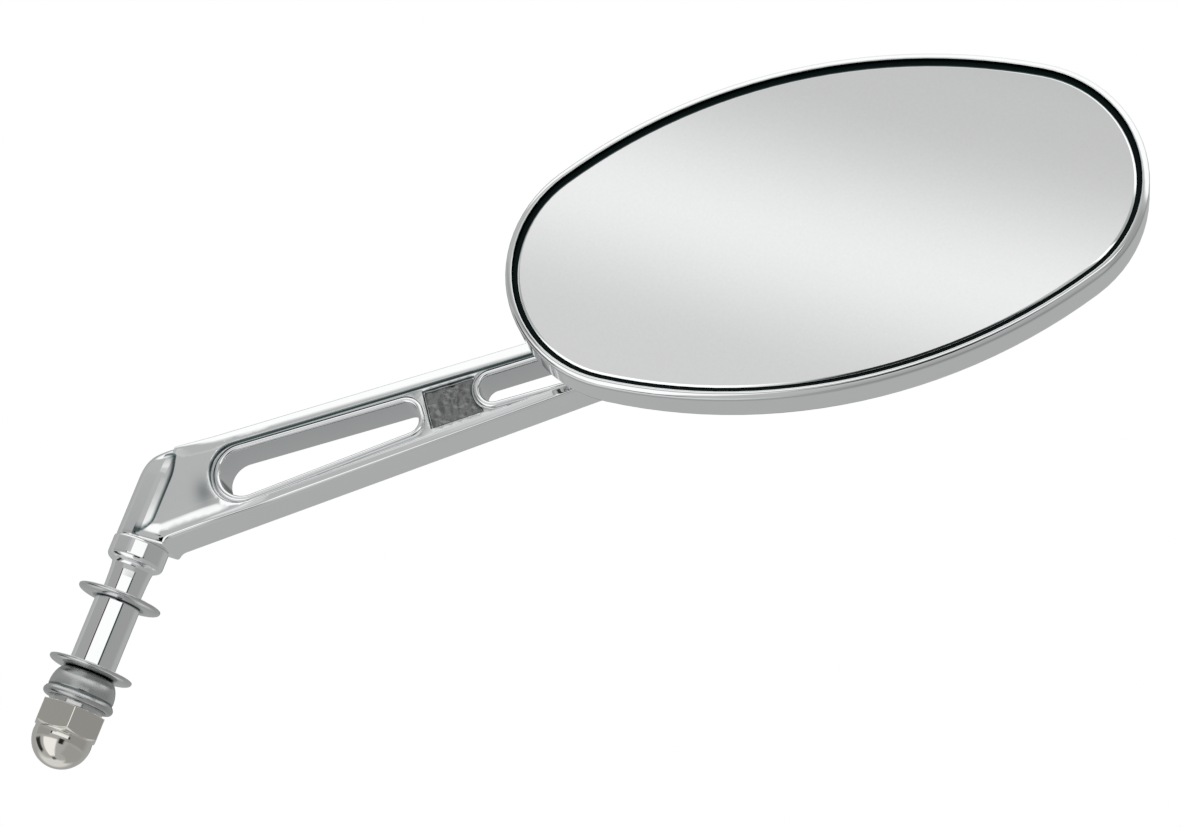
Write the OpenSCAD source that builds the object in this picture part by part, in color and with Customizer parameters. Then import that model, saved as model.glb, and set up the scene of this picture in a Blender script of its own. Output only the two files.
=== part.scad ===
// Motorcycle mirror: an oval chromed head on a slotted cast arm with a clamp stud.
// +Z runs up the mounting stud, the glass faces -Y and the arm leans towards +X.
// The origin is on the stud axis, where the spacer sleeve meets the upper washer.

/* [Head] */
// Length of the oval housing
head_len = 126; // [110:1:150]
// Width of the oval housing
head_wid = 68.4; // [62:0.2:76]
// Radius of the two end arcs of the oval
end_r = 25.6; // [24.5:0.1:28]
// Angle of the oval's long axis above the horizontal
head_turn = 29.2; // [0:0.1:60]
// Width of the bright lip around the glass
lip_w = 1.3; // [1:0.1:1.8]
// Thickness of the housing wall
shell_wall = 2; // [1.6:0.1:2.4]
// Depth of the upright side band, from the lip to the shoulder
side_depth = 8.25; // [8:0.05:9]
// Depth from the lip to the flat back of the housing
head_depth = 16; // [15.5:0.1:17]
// Radius of the shoulder between side band and back
shoulder_r = 6; // [5:0.1:7]
// Distance of the lip in front of the stud axis
head_front = 30; // [29.5:0.1:33]

/* [Glass] */
// Depth of the glass face below the lip
glass_recess = 0.8; // [0.4:0.1:1.2]
// Thickness of the mirror glass
glass_t = 2; // [1.8:0.1:2.2]
// Visible width of the black edge gasket
gasket_w = 1.15; // [0.9:0.05:1.5]
// Thickness of the foam pad behind the glass
pad_t = 0.5; // [0.3:0.1:0.7]
// Thickness of the backing plate
backing_t = 1.2; // [1:0.1:1.4]

/* [Arm] */
// Height of the bend on the stud axis
bend_z = 21.4; // [20:0.1:24]
// Angle of the arm above the horizontal
arm_rise = 35.7; // [30:0.1:42]
// Length from the bend to the ball pivot
arm_reach = 146.4; // [136:0.2:160]
// Half width of the arm at the bend
arm_half_w = 9.85; // [9.5:0.05:10.5]
// Taper of each long edge, in degrees
arm_taper = 1.92; // [1.7:0.02:2.1]
// Thickness of the arm
arm_t = 10; // [9.5:0.1:10.5]
// Chamfer along the rails
arm_chamfer = 0.7; // [0.3:0.1:1.2]
// Radius of the round socket that takes the stud
socket_r = 5.65; // [5.4:0.05:6]
// Width of the arm's foot to the right of the stud axis
foot_w = 7.1; // [6.8:0.1:7.4]
// Height of the arm's end face
foot_z = 13; // [12.5:0.1:13.5]
// Radius of the boss behind the head
pivot_boss_r = 8; // [7:0.1:9]

/* [Arm slots] */
// Width of the raised upper rail
upper_rail = 2.9; // [2.6:0.1:3.2]
// Width of the raised lower rail
lower_rail = 2.2; // [2:0.1:2.5]
// Depth of the recess between the rails
recess_d = 1; // [0.6:0.1:1.4]
// Distance from the bend to the recess
recess_start = 13.2; // [12:0.1:15]
// Distance from the bend to the far end of the recess
recess_end = 91; // [90:0.2:95]
// Width of the raised lip around each slot
slot_lip = 1.2; // [1:0.1:1.4]
// Gap between the slot lips and the rails
slot_margin = 0.5; // [0.3:0.1:0.7]
// Height of the slot lips above the recess floor
slot_lip_h = 0.6; // [0.3:0.1:0.8]
// Distance from the bend to the long slot
long_slot_start = 15; // [14.8:0.1:17]
// Distance from the bend to the end of the long slot
long_slot_end = 57.6; // [50:0.1:60]
// Distance from the bend to the short slot
short_slot_start = 71; // [68:0.1:73]
// Distance from the bend to the end of the short slot
short_slot_end = 88.6; // [84:0.1:89]
// Depth of the rough floor between the slots
bridge_d = 1.8; // [1.2:0.1:2.6]

/* [Mounting stud] */
// Diameter of the stud's thread
stud_d = 7.94; // [7.5:0.01:8.2]
// Outside diameter of the spacer sleeve
sleeve_d = 9.53; // [9.3:0.01:10.2]
// Length of the spacer sleeve
sleeve_len = 14.3; // [10:0.1:20]
// Diameter of the collar under the arm
collar_d = 11.8; // [11:0.1:12.5]
// Height of the collar
collar_h = 4.8; // [3.5:0.1:6]
// Diameter of the neck under the collar
neck_d = 8.6; // [8.4:0.1:9.2]
// Diameter of the two flat washers
washer_d = 17.5; // [16:0.1:20]
// Thickness of the two flat washers
washer_t = 1.2; // [0.8:0.1:1.6]
// Height of the bell spacer
bell_h = 6.7; // [5:0.1:8]
// Largest diameter of the bell spacer
bell_d = 14.8; // [14:0.1:16]
// Thickness of the lock washer
lock_t = 0.9; // [0.8:0.1:1.6]
// Width across the flats of the cap nut
nut_af = 12.7; // [12.4:0.1:13.5]
// Height of the cap nut
nut_h = 12.65; // [12:0.05:15]
// Height of the cap nut's six-sided part
nut_hex_h = 5.4; // [4.6:0.1:6]

/* [Ball joint] */
// Diameter of the ball
ball_d = 11; // [10.6:0.1:11.4]
// Diameter of the neck between ball and arm
ball_neck_d = 5; // [4.6:0.1:5.4]
// Depth of the ball's centre behind the lip
ball_depth = 15; // [14.9:0.05:15.2]
// Thickness of the plastic seat around the ball
liner_t = 1.25; // [1.1:0.05:1.4]
// Diameter of the ball stud's thread
ball_thread_d = 6; // [5:0.1:6.4]
// Outside diameter of the boss on the housing's back
ball_boss_d = 22; // [20:0.2:24]
// Height of that boss above the housing's back
ball_boss_h = 4; // [3.6:0.1:4.2]
// Thickness of the retainer plate
retainer_t = 1.2; // [1:0.1:1.3]
// Diameter of the retainer plate
retainer_d = 34; // [32:0.5:38]
// Radius of the circle of retainer screws
screw_circle_r = 13.6; // [13.4:0.1:14.2]
// Diameter of the retainer screws
screw_d = 2.5; // [2:0.1:2.8]
// Thickness of one disc spring
spring_t = 0.5; // [0.4:0.05:0.6]

/* [Fits] */
// Gap between pieces that are seated in each other
seat_gap = 0.03; // [0.02:0.01:0.06]
// Radial gap between the ball joint's moving surfaces
joint_gap = 0.15; // [0.1:0.01:0.2]
// Radial gap between a thread and what is screwed on it
thread_gap = 0.05; // [0.03:0.01:0.1]
// Radial gap between the stud and its washers
washer_gap = 0.38; // [0.2:0.02:0.5]

/* [Hidden] */
$fn = 64;
chrome = [0.78, 0.79, 0.8];
nickel = [0.66, 0.64, 0.6];
steel = [0.55, 0.56, 0.58];
nylon = [0.9, 0.89, 0.84];
black = [0.08, 0.08, 0.09];

// Four-arc oval: the end arcs and side arcs meet tangentially
half_len = head_len / 2;
half_wid = head_wid / 2;
end_x = half_len - end_r;
side_r = (end_x * end_x + half_wid * half_wid - end_r * end_r) / (2 * (half_wid - end_r));
side_y = side_r - half_wid;
blend_a = atan2(end_x, side_y);

// Back of the housing: a tight shoulder arc, then a wide arc that runs out flat
shoulder_a = 70;
back_r = (head_depth - side_depth - shoulder_r * sin(shoulder_a)) / (1 - sin(shoulder_a));
flat_in = shoulder_r * (1 - cos(shoulder_a)) + back_r * cos(shoulder_a);

// Glass stack
pad_depth = glass_recess + glass_t;
backing_depth = pad_depth + pad_t;
ledge_depth = backing_depth + backing_t;
ledge_w = 3.4;
lip_round = 0.5;

// Ball joint stack, as depths behind the lip
ball_r = ball_d / 2;
liner_in_r = ball_r + joint_gap;
liner_out_r = liner_in_r + liner_t;
seat_r = liner_out_r + joint_gap;
screw_head_h = 1;
screw_head_r = 0.9 * screw_d;
retainer_depth = ledge_depth + screw_head_h + 0.2;
spring_depth = retainer_depth + retainer_t + 0.1;
cup_pole = 0.6;
cup_depth = ball_depth - liner_in_r - cup_pole;
spring_room = cup_depth - 0.1 - spring_depth;
boss_wall = 2.6;
neck_open_a = 46;
back_depth = head_depth + ball_boss_h;

// Stack on the mounting stud, as heights
bell_top = -sleeve_len - washer_t;
lock_top = bell_top - bell_h;
nut_top = lock_top - lock_t;
nut_end = nut_top - nut_h;
nut_turn = -6.4;
stud_r = stud_d / 2;
stud_end = nut_end + 4.5;
stud_reach = 12;
collar_z = foot_z - collar_h;
collar_round = 1.3;
sleeve_gap = 0.2;
sleeve_w = sleeve_d / 2 - stud_r - sleeve_gap;
foot_round = 0.8;
corner_len = 7;

// Behind the arm and under the glass
boss_proud = 0.4;
pivot_back = head_front + arm_t / 2 + boss_proud;
pivot_washer_r = 6.2;
pivot_washer_t = 1.2;
pivot_nut_af = 10;
pivot_nut_h = 5;
flange_r = 5.2;
flange_t = 2.5;
liner_edge = 0.5;
spring_in_r = 3.4;
screw_len = 6;

function arm_half(s) = arm_half_w - s * tan(arm_taper);
function arc_points(c, r, a0, a1, n) =
    [for (i = [0:n]) c + r * [cos(a0 + (a1 - a0) * i / n), sin(a0 + (a1 - a0) * i / n)]];

// Outline of the oval, drawn in by the given distance
module oval(inset) {
    meet_x = end_x + (end_r - inset) * sin(blend_a);
    intersection() {
        translate([0, -side_y]) circle(r = side_r - inset, $fn = 180);
        translate([0, side_y]) circle(r = side_r - inset, $fn = 180);
        square([2 * meet_x, 2 * head_wid], center = true);
    }
    for (k = [-1, 1]) translate([k * end_x, 0]) circle(r = end_r - inset);
}

module oval_plate(inset, depth, thick)
    translate([0, 0, depth]) linear_extrude(thick) oval(inset);

// Sweeps a section around the oval; section x is the distance in from the edge
module oval_sweep()
    for (side = [0, 180]) rotate([0, 0, side]) {
        translate([end_x, 0, 0]) rotate([0, 0, blend_a - 90])
            rotate_extrude(angle = 180 - 2 * blend_a)
            translate([end_r, 0]) mirror([1, 0]) children();
        translate([0, -side_y, 0]) rotate([0, 0, 90 - blend_a])
            rotate_extrude(angle = 2 * blend_a)
            translate([side_r, 0]) mirror([1, 0]) children();
    }

// Places a child drawn with +Z as depth behind the lip and +X as the oval's long axis
module in_head()
    translate([arm_reach * cos(arm_rise), -head_front, bend_z + arm_reach * sin(arm_rise)])
    rotate([-90, -head_turn, 0])
    children();

// Places a child drawn with +X along the arm from the bend and +Z towards its upper edge
module in_arm()
    translate([0, 0, bend_z]) rotate([0, -arm_rise, 0]) children();

// Extrudes an outline in the XZ plane, between two Y positions
module slab(y0, y1)
    translate([0, y1, 0]) rotate([90, 0, 0]) linear_extrude(y1 - y0) children();

// Everything on one side of an arm edge, with the rail's chamfers on that edge
module edge_side(side)
    mirror([0, 0, side]) translate([0, 0, arm_half_w]) rotate([0, arm_taper, 0])
    translate([-6, 0, 0]) rotate([90, 0, 90]) linear_extrude(arm_reach + 6)
    polygon([
        [-arm_t / 2, -3 * arm_half_w], [-arm_t / 2, -arm_chamfer],
        [-arm_t / 2 + arm_chamfer, 0], [arm_t / 2 - arm_chamfer, 0],
        [arm_t / 2, -arm_chamfer], [arm_t / 2, -3 * arm_half_w]
    ]);

// Middle and half height of the space between the rails
rail_mid = (lower_rail - upper_rail) / 2;
function rail_room(s) = arm_half(s) - (upper_rail + lower_rail) / 2;

// Outline with round ends that follows the taper, drawn in from the rails
module rail_outline(s0, s1, inset) {
    r0 = rail_room(s0) - inset;
    r1 = rail_room(s1) - inset;
    near = [s0 + r0, rail_mid];
    far = [s1 - r1, rail_mid];
    lean = asin((r0 - r1) / (far[0] - near[0]));
    polygon(concat(
        arc_points(near, r0, 90 - lean, 270 + lean, 20),
        arc_points(far, r1, lean - 90, 90 - lean, 20)
    ));
}

// Both slots of the arm, grown by the given width
module slots(grow) {
    inset = slot_margin + slot_lip - grow;
    rail_outline(long_slot_start - grow, long_slot_end + grow, inset);
    rail_outline(short_slot_start - grow, short_slot_end + grow, inset);
}

// Round end of the arm that takes the stud, and the rounded outer corner over it
module socket_rod() {
    edge_a = arm_rise + arm_taper;
    corner_z = bend_z + (arm_half_w - socket_r) / cos(arm_rise);
    translate([0, 0, foot_z]) cylinder(r = socket_r, h = corner_z - foot_z);
    translate([0, 0, corner_z]) sphere(r = socket_r);
    translate([0, 0, corner_z]) rotate([0, 90 - edge_a, 0]) intersection() {
        cylinder(r = socket_r - 0.1, h = corner_len);
        translate([0, 0, corner_len / 2])
            cube([3 * socket_r, arm_t - 0.2, corner_len + 1], center = true);
    }
}

// Foot of the arm, to the right of the stud
module foot() {
    low_z = bend_z - arm_half_w * cos(arm_rise);
    slab(-arm_t / 2, arm_t / 2)
        polygon([
            [0, foot_z], [foot_w - foot_round, foot_z], [foot_w, foot_z + foot_round],
            [foot_w + 0.2, low_z + 1], [foot_w + 1.2, low_z + 2.4],
            [foot_w + 3.2, low_z + 4.2], [foot_w, bend_z], [0, bend_z]
        ]);
}

module arm_blank() {
    intersection() {
        in_arm() intersection() {
            edge_side(0);
            edge_side(1);
        }
        translate([0, -arm_t, foot_z]) cube([2 * arm_reach, 2 * arm_t, 2 * arm_reach]);
    }
    foot();
    socket_rod();
    in_arm() translate([arm_reach, 0, 0]) rotate([90, 0, 0])
        cylinder(r = pivot_boss_r, h = arm_t + 2 * boss_proud, center = true);
}

module arm() {
    front = -arm_t / 2;
    floor_y = front + recess_d;
    color(chrome) difference() {
        union() {
            difference() {
                arm_blank();
                in_arm() slab(front - 2, floor_y) rail_outline(recess_start, recess_end, 0);
                in_arm() slab(front - 2, front + bridge_d)
                    rail_outline(long_slot_end - slot_lip, short_slot_start + slot_lip, slot_margin);
            }
            in_arm() slab(floor_y - slot_lip_h, front + bridge_d + 1) slots(slot_lip);
        }
        in_arm() slab(front - 2, 2 - front) slots(0);
        translate([0, 0, foot_z - 1]) cylinder(r = stud_r + thread_gap, h = stud_reach + 2);
        in_arm() translate([arm_reach, 0, 0]) rotate([90, 0, 0])
            cylinder(r = ball_thread_d / 2 + thread_gap, h = 2 * arm_t, center = true);
    }
}

module mounting_stud() color(chrome) {
    translate([0, 0, stud_end]) cylinder(r = stud_r, h = foot_z + stud_reach - stud_end);
    rotate_extrude() polygon(concat(
        [[0, washer_t], [stud_r + 0.05, washer_t], [neck_d / 2 - 0.2, collar_z - 1.2],
         [neck_d / 2, collar_z]],
        arc_points([collar_d / 2 - collar_round, collar_z + collar_round], collar_round, -90, 0, 8),
        [[collar_d / 2, foot_z], [0, foot_z]]
    ));
}

module flat_washer(top, inner_r) color(chrome) rotate_extrude()
    translate([inner_r, top - washer_t]) polygon([
        [0, 0], [washer_w(inner_r) - 0.3, 0], [washer_w(inner_r), 0.3],
        [washer_w(inner_r), washer_t - 0.3], [washer_w(inner_r) - 0.3, washer_t], [0, washer_t]
    ]);

function washer_w(inner_r) = washer_d / 2 - inner_r;

module upper_washer() flat_washer(washer_t, stud_r + washer_gap);

module lower_washer() flat_washer(-sleeve_len, stud_r + washer_gap);

module spacer_sleeve() color(chrome) rotate_extrude()
    translate([stud_r + sleeve_gap, -sleeve_len]) polygon([
        [0, 0], [sleeve_w - 0.2, 0], [sleeve_w, 0.2], [sleeve_w, sleeve_len], [0, sleeve_len]
    ]);

// A bell that widens downwards, with a groove over its rolled lip
module bell_spacer() color(chrome) rotate_extrude()
    translate([0, lock_top]) polygon(concat(
        [[stud_r + washer_gap, bell_h], [stud_r + washer_gap, 0], [bell_d / 2 - 0.9, 0]],
        arc_points([bell_d / 2 - 0.9, 0.9], 0.9, -90, 30, 8),
        [[bell_d / 2 - 0.45, 1.75], [bell_d / 2 - 0.5, 2.1]],
        [for (i = [0:8]) [
            sleeve_d / 2 + (bell_d / 2 - 0.55 - sleeve_d / 2) * cos(90 * i / 8),
            2.4 + (bell_h - 2.4) * sin(90 * i / 8)
        ]]
    ));

module lock_washer() color(steel) translate([0, 0, lock_top - lock_t]) difference() {
    cylinder(r = nut_af / 2 - 0.7, h = lock_t);
    translate([0, 0, -1]) cylinder(r = stud_r + sleeve_gap, h = lock_t + 2);
    translate([0, -0.4, -1]) rotate([0, 0, 120]) cube([nut_af, 0.8, lock_t + 2]);
}

module cap_nut() {
    dome_r = nut_af / 2 - 0.25;
    hex_z = nut_top - nut_hex_h;
    color(nickel) rotate([0, 0, nut_turn]) difference() {
        union() {
            intersection() {
                translate([0, 0, hex_z]) cylinder(r = nut_af / sqrt(3), h = nut_hex_h, $fn = 6);
                translate([0, 0, hex_z]) cylinder(r1 = nut_af / 2, r2 = nut_af, h = nut_af);
                translate([0, 0, nut_top - nut_af]) cylinder(r1 = nut_af, r2 = nut_af / 2, h = nut_af);
            }
            translate([0, 0, nut_end + dome_r]) sphere(r = dome_r);
            translate([0, 0, nut_end + dome_r])
                cylinder(r = dome_r, h = nut_top - 1 - nut_end - dome_r);
        }
        translate([0, 0, stud_end - 0.6])
            cylinder(r = stud_r + thread_gap, h = nut_top + 1 - stud_end);
    }
}

module ball_stud() {
    arm_front = pivot_back - arm_t - 2 * boss_proud;
    shank_len = pivot_back - arm_front + pivot_washer_t + pivot_nut_h + 1.5;
    color(steel) in_head() difference() {
        union() {
            translate([0, 0, ball_depth]) sphere(r = ball_r);
            translate([0, 0, ball_depth]) cylinder(r = ball_neck_d / 2, h = arm_front - ball_depth);
            translate([0, 0, arm_front - flange_t]) cylinder(r = flange_r, h = flange_t, $fn = 6);
            translate([0, 0, arm_front - 0.5]) cylinder(r = ball_thread_d / 2, h = shank_len + 0.5);
        }
        translate([0, 0, ball_depth - ball_r - 1]) cylinder(r = 1.6, h = 3.5, $fn = 6);
    }
}

module pivot_washer() color(steel) in_head()
    translate([0, 0, pivot_back]) difference() {
        cylinder(r = pivot_washer_r, h = pivot_washer_t);
        translate([0, 0, -1]) cylinder(r = ball_thread_d / 2 + sleeve_gap, h = pivot_washer_t + 2);
    }

module pivot_nut() color(steel) in_head()
    translate([0, 0, pivot_back + pivot_washer_t]) difference() {
        intersection() {
            cylinder(r = pivot_nut_af / sqrt(3), h = pivot_nut_h, $fn = 6);
            cylinder(r1 = pivot_nut_af, r2 = pivot_nut_af / 2, h = pivot_nut_af);
        }
        translate([0, 0, -1]) cylinder(r = ball_thread_d / 2 + thread_gap, h = pivot_nut_h + 2);
    }

// Plastic seat between the ball's arm side and the housing
module ball_liner() color(nylon) in_head() translate([0, 0, ball_depth]) difference() {
    sphere(r = liner_out_r);
    sphere(r = liner_in_r);
    cylinder(r1 = 0, r2 = 2 * seat_r * tan(neck_open_a), h = 2 * seat_r);
    translate([0, 0, liner_edge - 2 * seat_r]) cylinder(r = 2 * seat_r, h = 2 * seat_r);
}

// Cup that the springs press on the ball's glass side
module pressure_cup() color(nylon) in_head() difference() {
    translate([0, 0, cup_depth])
        cylinder(r = seat_r - joint_gap, h = ball_depth - 1 - cup_depth);
    translate([0, 0, ball_depth]) sphere(r = liner_in_r);
    translate([0, 0, cup_depth - 1]) cylinder(r = ball_neck_d / 2, h = ball_depth);
}

// Two disc springs, set edge to edge
module disc_springs() color(steel) in_head() {
    cone_h = spring_room / 2 - spring_t - seat_gap;
    for (k = [0, 1])
        translate([0, 0, spring_depth + k * spring_room]) mirror([0, 0, k]) rotate_extrude()
            polygon([
                [spring_in_r, 0], [seat_r - 0.5, cone_h],
                [seat_r - 0.5, cone_h + spring_t], [spring_in_r, spring_t]
            ]);
}

module on_screw_circle()
    for (a = [90, 210, 330]) rotate([0, 0, a]) translate([screw_circle_r, 0, 0]) children();

module retainer_plate() color(steel) in_head() translate([0, 0, retainer_depth]) difference() {
    cylinder(r = retainer_d / 2, h = retainer_t);
    translate([0, 0, -1]) cylinder(r = spring_in_r, h = retainer_t + 2);
    translate([0, 0, -1]) on_screw_circle() cylinder(r = screw_d / 2 + 0.2, h = retainer_t + 2);
}

module retainer_screws() color(steel) in_head() on_screw_circle() difference() {
    union() {
        translate([0, 0, retainer_depth - screw_head_h]) cylinder(r = screw_head_r, h = screw_head_h);
        translate([0, 0, retainer_depth - 0.2]) cylinder(r = screw_d / 2, h = screw_len);
    }
    translate([0, 0, retainer_depth - screw_head_h - 1]) cylinder(r = 0.7, h = 1.6, $fn = 6);
}

// Section of the housing's wall: x is the distance in from the edge, y the depth
module shell_section()
    polygon(concat(
        arc_points([lip_w - 0.4, 0.4], 0.4, 0, -90, 3),
        arc_points([lip_round, lip_round], lip_round, 270, 180, 3),
        arc_points([shoulder_r, side_depth], shoulder_r, 180, 180 - shoulder_a, 7),
        arc_points([flat_in, head_depth - back_r], back_r, 176 - shoulder_a, 90, 4),
        [[flat_in + 1, head_depth], [flat_in + 1, head_depth - shell_wall]],
        arc_points([flat_in, head_depth - back_r], back_r - shell_wall, 90, 176 - shoulder_a, 3),
        arc_points([shoulder_r, side_depth], shoulder_r - shell_wall, 180 - shoulder_a, 180, 4),
        [[shell_wall, ledge_depth + 2.2], [ledge_w, ledge_depth + 0.8],
         [ledge_w, ledge_depth], [lip_w, ledge_depth]]
    ));

module head_shell() {
    sleeve_depth = retainer_depth + retainer_t + seat_gap;
    color(chrome) in_head() difference() {
        union() {
            oval_sweep() shell_section();
            oval_plate(flat_in + 0.5, head_depth - shell_wall, shell_wall);
            translate([0, 0, sleeve_depth])
                cylinder(r = seat_r + boss_wall, h = head_depth - sleeve_depth);
            translate([0, 0, head_depth - 1])
                cylinder(r1 = ball_boss_d / 2 + 1, r2 = ball_boss_d / 2, h = ball_boss_h + 1);
            translate([0, 0, sleeve_depth]) on_screw_circle()
                cylinder(r = 1.1 * screw_d, h = head_depth - sleeve_depth - 1);
        }
        translate([0, 0, sleeve_depth - 1]) cylinder(r = seat_r, h = ball_depth - sleeve_depth + 1);
        translate([0, 0, ball_depth]) sphere(r = seat_r);
        translate([0, 0, ball_depth])
            cylinder(r1 = 0, r2 = 2 * seat_r * tan(neck_open_a), h = 2 * seat_r);
        translate([0, 0, sleeve_depth - 1]) on_screw_circle()
            cylinder(r = screw_d / 2 + seat_gap, h = screw_len + 1);
    }
}

module backing_plate() color(black) in_head()
    oval_plate(lip_w + gasket_w, backing_depth, backing_t - seat_gap);

module foam_pad() color(black) in_head()
    oval_plate(lip_w + gasket_w + 0.5, pad_depth, pad_t);

module mirror_glass() color([0.86, 0.87, 0.87]) in_head()
    oval_plate(lip_w + gasket_w, glass_recess, glass_t);

module edge_gasket() color(black) in_head() difference() {
    oval_plate(lip_w + seat_gap, glass_recess + 0.2, ledge_depth - glass_recess - 0.2 - seat_gap);
    oval_plate(lip_w + gasket_w - seat_gap, 0, ledge_depth + 1);
}

arm();
mounting_stud();
upper_washer();
spacer_sleeve();
lower_washer();
bell_spacer();
lock_washer();
cap_nut();
ball_stud();
pivot_washer();
pivot_nut();
ball_liner();
pressure_cup();
disc_springs();
retainer_plate();
retainer_screws();
head_shell();
backing_plate();
foam_pad();
mirror_glass();
edge_gasket();
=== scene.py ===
"""Oval motorcycle mirror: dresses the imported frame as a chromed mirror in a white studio."""

import math

import bmesh
import bpy
import numpy as np
from mathutils import Matrix, Vector, geometry, noise


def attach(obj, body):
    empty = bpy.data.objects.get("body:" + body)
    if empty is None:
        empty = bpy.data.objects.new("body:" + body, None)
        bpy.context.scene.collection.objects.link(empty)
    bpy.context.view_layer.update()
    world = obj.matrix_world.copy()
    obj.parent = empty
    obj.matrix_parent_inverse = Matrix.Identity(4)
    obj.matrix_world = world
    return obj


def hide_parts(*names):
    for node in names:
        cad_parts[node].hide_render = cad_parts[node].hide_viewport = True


bl_info = {
    "name": "Oval motorcycle mirror",
    "version": (1, 0, 0),
    "blender": (4, 5, 0),
    "location": "View3D > Sidebar > Mirror",
    "description": "Builds the finished pieces of a chromed motorcycle mirror around its frame",
    "category": "Add Mesh",
}

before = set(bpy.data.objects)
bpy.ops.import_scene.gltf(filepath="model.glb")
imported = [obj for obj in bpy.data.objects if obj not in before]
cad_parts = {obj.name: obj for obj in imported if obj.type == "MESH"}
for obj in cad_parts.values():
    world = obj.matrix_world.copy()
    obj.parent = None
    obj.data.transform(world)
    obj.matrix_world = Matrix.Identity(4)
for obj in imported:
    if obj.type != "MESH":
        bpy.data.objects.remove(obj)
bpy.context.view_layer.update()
MM = 0.001

# Places and main sizes of the frame, in millimetres
RISE = math.radians(35.7)
TURN = math.radians(29.2)
BEND_Z = 21.4
REACH = 146.4
PIVOT = (REACH * math.cos(RISE), -30.0, BEND_Z + REACH * math.sin(RISE))
NUT_TURN = math.radians(-6.4)


def arc(cx, cy, r, a0, a1, n):
    """Points of an arc, angles in degrees."""
    turns = np.radians(np.linspace(a0, a1, n + 1))
    return [(cx + r * math.cos(t), cy + r * math.sin(t)) for t in turns]


def circle(r, n=96):
    """Points of a circle."""
    turns = [2 * math.pi * k / n for k in range(n)]
    return [(r * math.cos(t), r * math.sin(t)) for t in turns]


def rounded(points, n=6, closed=False):
    """A polyline whose corners (x, y, radius) are turned into arcs."""
    out = []
    count = len(points)
    for i, p in enumerate(points):
        x, y, r = p if len(p) == 3 else (p[0], p[1], 0)
        if r <= 0 or (not closed and i in (0, count - 1)):
            out.append((x, y))
            continue
        corner = Vector((x, y))
        a = Vector(points[i - 1][:2]) - corner
        b = Vector(points[(i + 1) % count][:2]) - corner
        half = a.angle(b) / 2
        reach = min(r / math.tan(half), 0.49 * a.length, 0.49 * b.length)
        r = reach * math.tan(half)
        a.normalize()
        b.normalize()
        centre = corner + (a + b).normalized() * (r / math.sin(half))
        p0 = corner + a * reach - centre
        p1 = corner + b * reach - centre
        turn = p0.angle_signed(p1)
        for k in range(n + 1):
            t = -turn * k / n
            c, s = math.cos(t), math.sin(t)
            out.append((centre.x + c * p0.x - s * p0.y, centre.y + s * p0.x + c * p0.y))
    return out


def soft_normals(mesh):
    """Normals weighted by face area, so that flats stay flat and small roundings carry the turn."""
    count = len(mesh.vertices)
    total = np.zeros((count, 3))
    for face in mesh.polygons:
        push = np.array(face.normal) * face.area
        for v in face.vertices:
            total[v] += push
    length = np.linalg.norm(total, axis=1)
    length[length == 0] = 1
    mesh.polygons.foreach_set("use_smooth", [True] * len(mesh.polygons))
    mesh.normals_split_custom_set_from_vertices((total / length[:, None]).tolist())


def add_object(name, data):
    """Makes an object and puts it in the scene."""
    obj = bpy.data.objects.new(name, data)
    bpy.context.scene.collection.objects.link(obj)
    return obj


def piece(name, built, material, body, slot, *nodes):
    """Makes a finished piece from points in millimetres and hangs it on a body of the frame."""
    mesh = bpy.data.meshes.new(name)
    mesh.from_pydata([[c * MM for c in v] for v in built.verts], [], built.faces)
    # The points' painted shade, which darkens the piece's colour, is kept as a point attribute.
    crevice = mesh.attributes.new("crevice", "FLOAT", "POINT")
    for index, value in built.painted_dark.items():
        crevice.data[index].value = value
    bm = bmesh.new()
    bm.from_mesh(mesh)
    bmesh.ops.remove_doubles(bm, verts=bm.verts, dist=1e-7)
    bmesh.ops.recalc_face_normals(bm, faces=bm.faces)
    bm.to_mesh(mesh)
    bm.free()
    mesh.materials.append(material)
    soft_normals(mesh)
    obj = add_object(name, mesh)
    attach(obj, body)
    if nodes:
        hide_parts(*nodes)


def held(profile, closed, keep=0.16):
    """Adds points close to both ends of long straight runs, so that their normals stay straight."""
    points = [(*p, 0.0) if len(p) == 2 else p for p in profile]
    out = []
    for i, a in enumerate(points):
        out.append(a)
        if i == len(points) - 1 and not closed:
            break
        b = points[(i + 1) % len(points)]
        run = math.hypot(b[0] - a[0], b[1] - a[1])
        if run > 5 * keep:
            for share in (keep / run, 1 - keep / run):
                out.append(tuple(a[k] + (b[k] - a[k]) * share for k in range(3)))
    return out


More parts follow.
